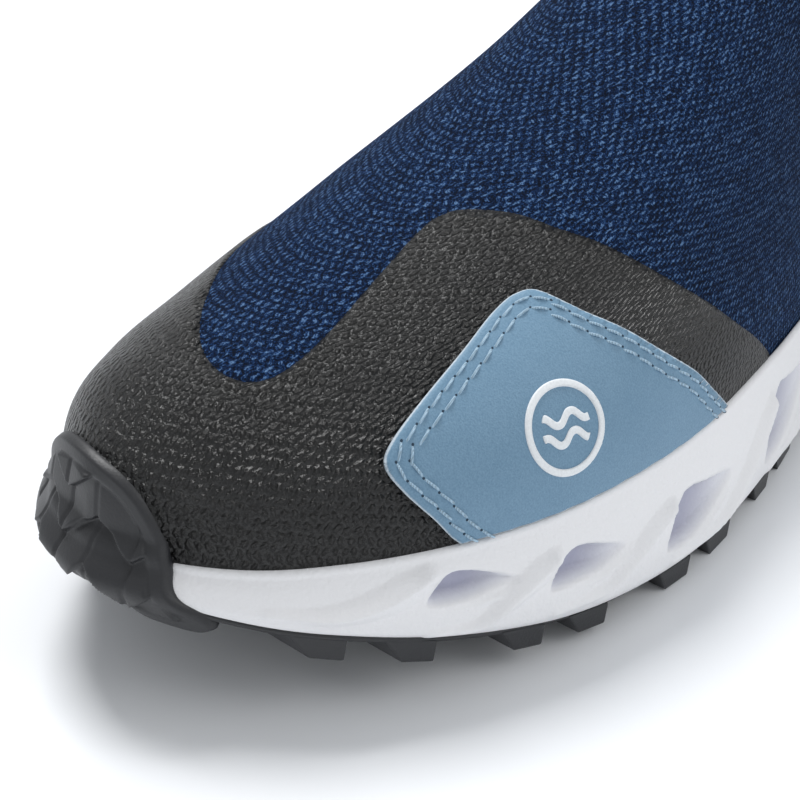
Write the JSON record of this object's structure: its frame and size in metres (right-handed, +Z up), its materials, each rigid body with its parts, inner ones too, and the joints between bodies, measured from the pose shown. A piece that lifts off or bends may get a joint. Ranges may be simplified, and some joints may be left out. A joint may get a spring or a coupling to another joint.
{
  "type": "neoprene boot",
  "caption": "Ankle-high slip-on water-sports boot with a knit-faced neoprene upper, film toe overlay, rubber toe bumper and lugged foam sole.",
  "frame": {"origin": "centre of the bounding box, on the ground under the lugs", "axes": "+Z up from the ground, -Y toward the toe, +X toward the outer side of this left boot"},
  "size_m": [0.1064, 0.3044, 0.1681],
  "materials": {
    "rubber": "matte moulded",
    "foam": "satin moulded foam skin",
    "knit": "knobbly two-tone knit face",
    "neoprene": "fine jersey over neoprene",
    "film": "thin film moulded over the knit",
    "leather": "fine-grained light blue",
    "mark": "printed raised ink",
    "trim": "woven tape",
    "webbing": "woven webbing",
    "board": "stitched fibre board",
    "stiffener": "moulded sheet"
  },
  "bodies": {
    "boot": {"collar": "neoprene", "collar_binding": "trim", "collar_label": "trim", "heel_counter": "stiffener", "heel_film": "film", "insole_board": "board", "loop_anchor": "webbing", "midsole": "foam", "outsole": "rubber", "patch_lateral": "leather", "patch_mark": "mark", "patch_medial": "leather", "rear_quarter": "knit", "seam_tape_lateral": "trim", "seam_tape_medial": "trim", "shank": "stiffener", "toe_film": "film", "toe_puff": "stiffener", "vamp": "knit"},
    "loop": {"pull_loop": "webbing"},
    "footbed": {"sockliner": "neoprene"}
  },
  "joints": [
    {"name": "pull_loop_hinge", "type": "hinge", "parent": "boot", "child": "loop", "pos_m": [0.0017, 0.13596, 0.1204], "axis": [1, 0, 0], "range_deg": [-60, 0], "stiffness_Nm_per_rad": 0.02},
    {"name": "sockliner_lift", "type": "hinge", "parent": "boot", "child": "footbed", "pos_m": [0, -0.13927, 0.0275], "axis": [1, 0, 0], "range_deg": [0, 2.5]}
  ]
}
